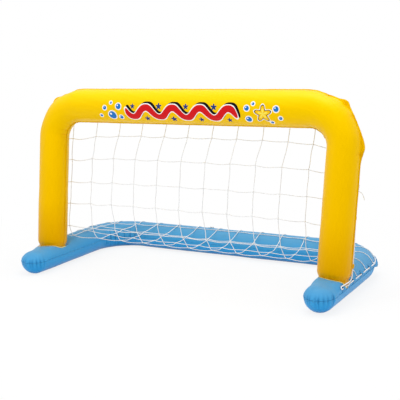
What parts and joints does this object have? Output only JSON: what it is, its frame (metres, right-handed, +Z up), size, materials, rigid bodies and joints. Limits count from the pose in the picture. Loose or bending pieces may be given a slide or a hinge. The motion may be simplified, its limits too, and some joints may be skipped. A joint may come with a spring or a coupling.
{
  "type": "water polo goal",
  "caption": "Inflatable water polo goal: a leaning film arch welded on a U-shaped film base, with a knotted net laced round both by a border rope through welded loops.",
  "frame": {"origin": "on the floor, under the middle of the part's box", "axes": "+X along the crossbar, +Y from the mouth towards the rear tube, +Z up"},
  "size_m": [1.3676, 0.6732, 0.7223],
  "materials": {
    "yellow_film": "satin",
    "blue_film": "satin",
    "white_twine": "matte",
    "clear_vinyl": "satin"
  },
  "bodies": {
    "root": {"arch_front_panel": "yellow_film", "arch_back_panel": "yellow_film", "base_upper_panel": "blue_film", "base_lower_panel": "blue_film", "left_post_sole": "yellow_film", "left_post_weld": "yellow_film", "right_post_sole": "yellow_film", "right_post_weld": "yellow_film", "arch_valve_flange": "clear_vinyl", "base_valve_flange": "clear_vinyl", "border_rope": "white_twine", "border_rope_knot": "white_twine", "net": "white_twine", "crossbar_loop_1": "yellow_film", "crossbar_loop_2": "yellow_film", "crossbar_loop_3": "yellow_film", "crossbar_loop_4": "yellow_film", "crossbar_loop_5": "yellow_film", "post_loop_1": "yellow_film", "post_loop_2": "yellow_film", "post_loop_3": "yellow_film", "post_loop_4": "yellow_film", "post_loop_5": "yellow_film", "post_loop_6": "yellow_film", "post_loop_7": "yellow_film", "post_loop_8": "yellow_film", "rear_loop_1": "blue_film", "rear_loop_2": "blue_film", "rear_loop_3": "blue_film", "rear_loop_4": "blue_film", "rear_loop_5": "blue_film", "arm_loop_1": "blue_film", "arm_loop_2": "blue_film", "arm_loop_3": "blue_film", "arm_loop_4": "blue_film", "arm_loop_5": "blue_film", "arm_loop_6": "blue_film", "arm_loop_7": "blue_film", "arm_loop_8": "blue_film", "arm_loop_9": "blue_film", "arm_loop_10": "blue_film"},
    "arch_stem": {"arch_valve_stem": "clear_vinyl", "arch_valve_flap": "clear_vinyl"},
    "arch_plug": {"arch_valve_plug": "clear_vinyl"},
    "base_stem": {"base_valve_stem": "clear_vinyl", "base_valve_flap": "clear_vinyl"},
    "base_plug": {"base_valve_plug": "clear_vinyl"}
  },
  "joints": [
    {"name": "arch_valve_pull", "type": "slide", "parent": "root", "child": "arch_stem", "axis": [0, 0.8584, 0.513], "range_m": [0, 0.012]},
    {"name": "arch_plug_hinge", "type": "hinge", "parent": "arch_stem", "child": "arch_plug", "pos_m": [-0.2304, -0.00836, 0.68798], "axis": [0, 0.513, -0.8584], "range_deg": [0, 100]},
    {"name": "base_valve_pull", "type": "slide", "parent": "root", "child": "base_stem", "axis": [0, 0.4384, 0.8988], "range_m": [0, 0.012]},
    {"name": "base_plug_hinge", "type": "hinge", "parent": "base_stem", "child": "base_plug", "pos_m": [-0.1004, 0.30183, 0.10576], "axis": [0, 0.8988, -0.4384], "range_deg": [0, 100]}
  ]
}
